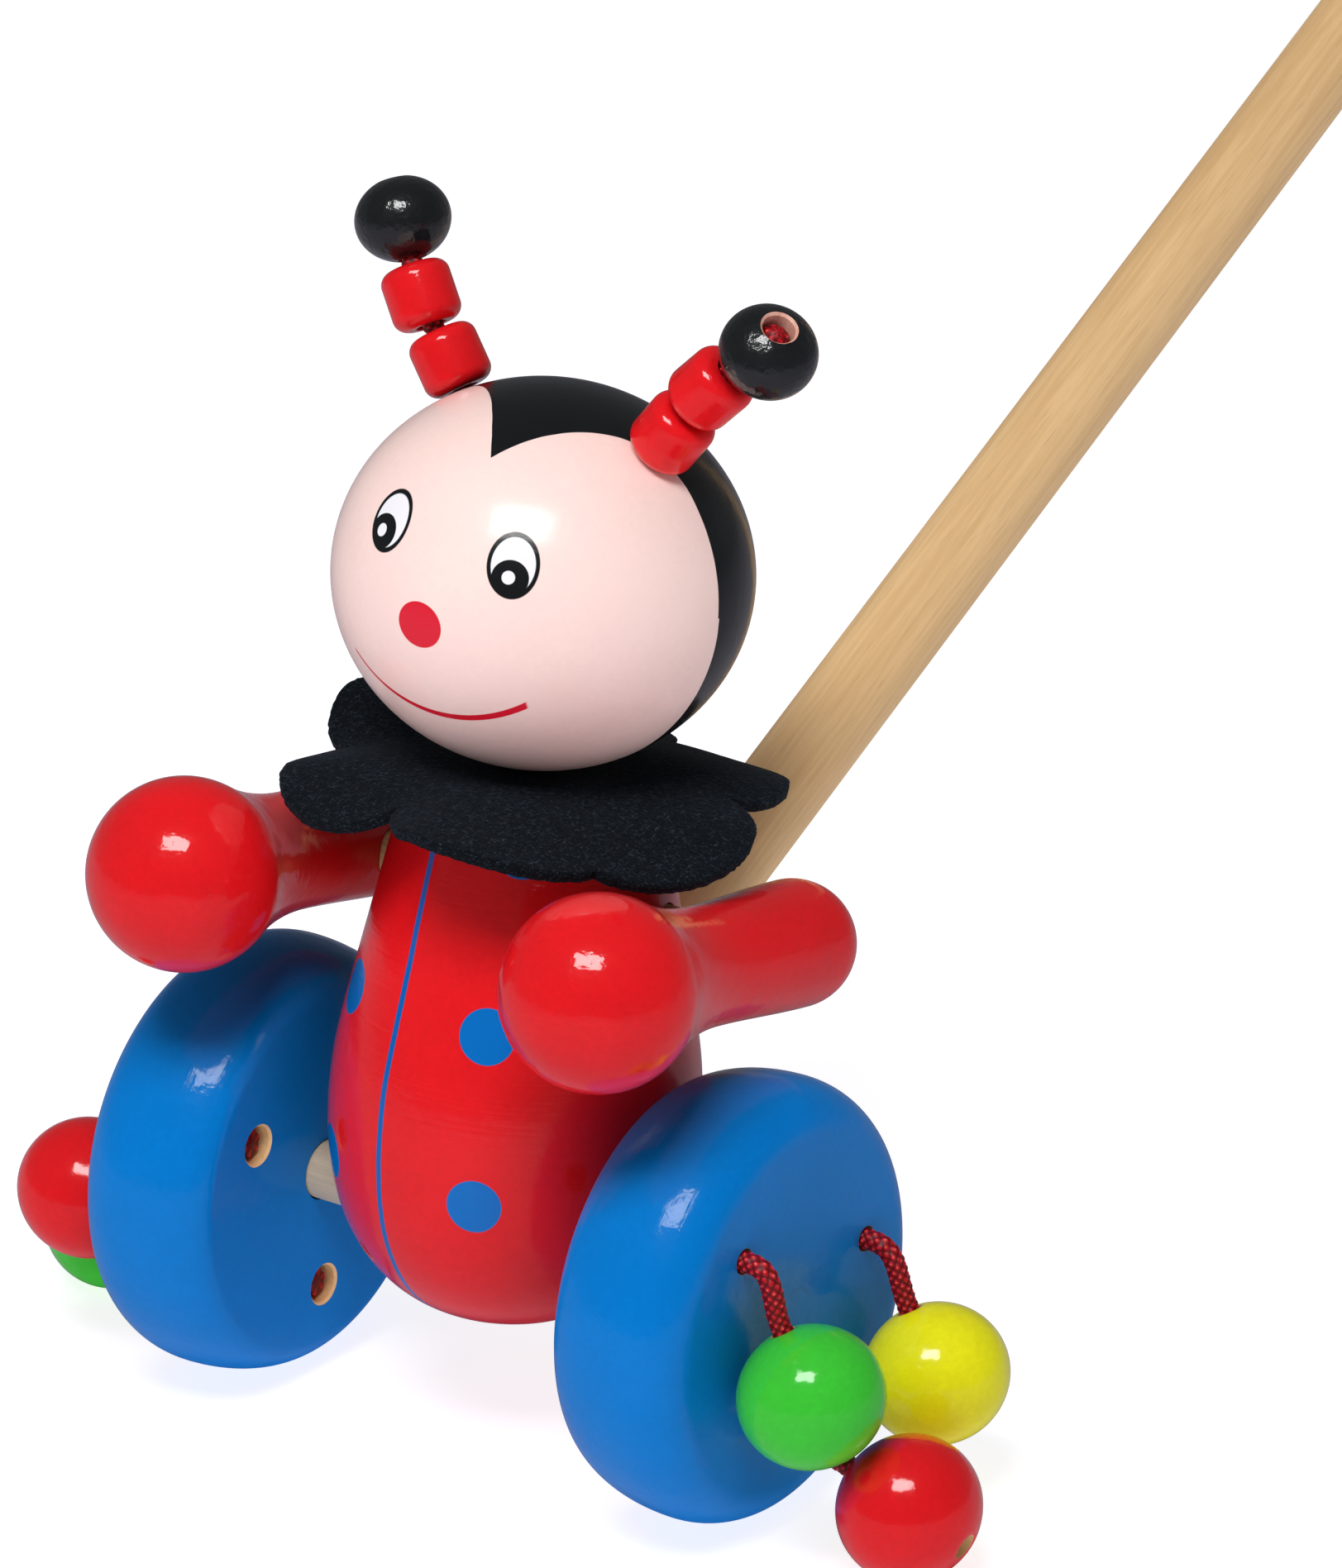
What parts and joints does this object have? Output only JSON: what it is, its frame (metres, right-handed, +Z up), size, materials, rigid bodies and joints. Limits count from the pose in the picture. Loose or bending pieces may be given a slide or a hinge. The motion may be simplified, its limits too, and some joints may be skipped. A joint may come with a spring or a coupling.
{
  "type": "wooden push-along ladybird",
  "caption": "Wooden push-along ladybird toy: egg-shaped body with felt collar, two wheels with beads on cords, swinging arms, sprung antennae and a long push stick",
  "frame": {"origin": "the middle of the flat end of the handle knob, where the toy is held", "axes": "X along the wheel axle with the toy's left, as it faces, at +X; -Y the way the face looks; +Z up. The stick runs from the body up and back to the origin."},
  "size_m": [0.1943, 0.5182, 0.2764],
  "materials": {
    "red_lacquer": "high-gloss lacquer over turned wood",
    "blue_lacquer": "high-gloss lacquer over turned wood",
    "green_lacquer": "high-gloss lacquer over turned wood",
    "yellow_lacquer": "high-gloss lacquer over turned wood",
    "black_lacquer": "high-gloss lacquer over turned wood",
    "face_lacquer": "gloss lacquer, painted features",
    "bare_wood": "sanded, unvarnished",
    "black_felt": "matt wool felt",
    "red_cord": "braided cord with a slight sheen"
  },
  "bodies": {
    "toy": {"body": "red_lacquer", "head": "face_lacquer", "neck_dowel": "bare_wood", "collar": "black_felt", "stick": "bare_wood", "handle_knob": "red_lacquer"},
    "arms": {"shoulder_dowel": "bare_wood", "arm_left": "red_lacquer", "arm_right": "red_lacquer"},
    "axle_and_wheels": {"axle": "bare_wood", "wheel_left": "blue_lacquer", "wheel_right": "blue_lacquer"},
    "bead_and_cord_right_yellow": {"bead_right_yellow": "yellow_lacquer", "cord_right_yellow": "red_cord"},
    "bead_and_cord_right_green": {"bead_right_green": "green_lacquer", "cord_right_green": "red_cord"},
    "bead_and_cord_right_red": {"bead_right_red": "red_lacquer", "cord_right_red": "red_cord"},
    "bead_and_cord_left_red": {"bead_left_red": "red_lacquer", "cord_left_red": "red_cord"},
    "bead_and_cord_left_green": {"bead_left_green": "green_lacquer", "cord_left_green": "red_cord"},
    "bead_and_cord_left_yellow": {"bead_left_yellow": "yellow_lacquer", "cord_left_yellow": "red_cord"},
    "antenna_left": {"antenna_cord_left": "red_cord", "barrel_lower_left": "red_lacquer", "barrel_upper_left": "red_lacquer", "antenna_ball_left": "black_lacquer"},
    "antenna_right": {"antenna_cord_right": "red_cord", "barrel_lower_right": "red_lacquer", "barrel_upper_right": "red_lacquer", "antenna_ball_right": "black_lacquer"}
  },
  "joints": [
    {"name": "axle_spin", "type": "hinge", "parent": "toy", "child": "axle_and_wheels", "pos_m": [0, -0.4714, -0.2284], "axis": [1, 0, 0], "continuous": true},
    {"name": "arms_swing", "type": "hinge", "parent": "toy", "child": "arms", "pos_m": [0, -0.45602, -0.17538], "axis": [1, 0, 0], "range_deg": [-4, 15]},
    {"name": "bead_hang_right_yellow", "type": "hinge", "parent": "axle_and_wheels", "child": "bead_and_cord_right_yellow", "pos_m": [0, -0.45094, -0.22326], "axis": [1, 0, 0], "continuous": true},
    {"name": "bead_hang_right_green", "type": "hinge", "parent": "axle_and_wheels", "child": "bead_and_cord_right_green", "pos_m": [0, -0.48608, -0.21325], "axis": [1, 0, 0], "continuous": true},
    {"name": "bead_hang_right_red", "type": "hinge", "parent": "axle_and_wheels", "child": "bead_and_cord_right_red", "pos_m": [0, -0.47718, -0.24869], "axis": [1, 0, 0], "continuous": true},
    {"name": "bead_hang_left_red", "type": "hinge", "parent": "axle_and_wheels", "child": "bead_and_cord_left_red", "pos_m": [0, -0.48927, -0.21719], "axis": [1, 0, 0], "continuous": true},
    {"name": "bead_hang_left_green", "type": "hinge", "parent": "axle_and_wheels", "child": "bead_and_cord_left_green", "pos_m": [0, -0.47217, -0.24949], "axis": [1, 0, 0], "continuous": true},
    {"name": "bead_hang_left_yellow", "type": "hinge", "parent": "axle_and_wheels", "child": "bead_and_cord_left_yellow", "pos_m": [0, -0.45275, -0.21853], "axis": [1, 0, 0], "continuous": true},
    {"name": "antenna_nod_left", "type": "hinge", "parent": "toy", "child": "antenna_left", "pos_m": [-0.02132, -0.44796, -0.09475], "axis": [1, 0, 0], "range_deg": [-6, 6], "stiffness_Nm_per_rad": 0.03},
    {"name": "antenna_nod_right", "type": "hinge", "parent": "toy", "child": "antenna_right", "pos_m": [0.02076, -0.4551, -0.09421], "axis": [1, 0, 0], "range_deg": [-6, 6], "stiffness_Nm_per_rad": 0.03}
  ],
  "couplings": [
    {"joint": "bead_hang_right_yellow", "follows": "axle_spin", "ratio": -1},
    {"joint": "bead_hang_right_green", "follows": "axle_spin", "ratio": -1},
    {"joint": "bead_hang_right_red", "follows": "axle_spin", "ratio": -1},
    {"joint": "bead_hang_left_red", "follows": "axle_spin", "ratio": -1},
    {"joint": "bead_hang_left_green", "follows": "axle_spin", "ratio": -1},
    {"joint": "bead_hang_left_yellow", "follows": "axle_spin", "ratio": -1}
  ]
}
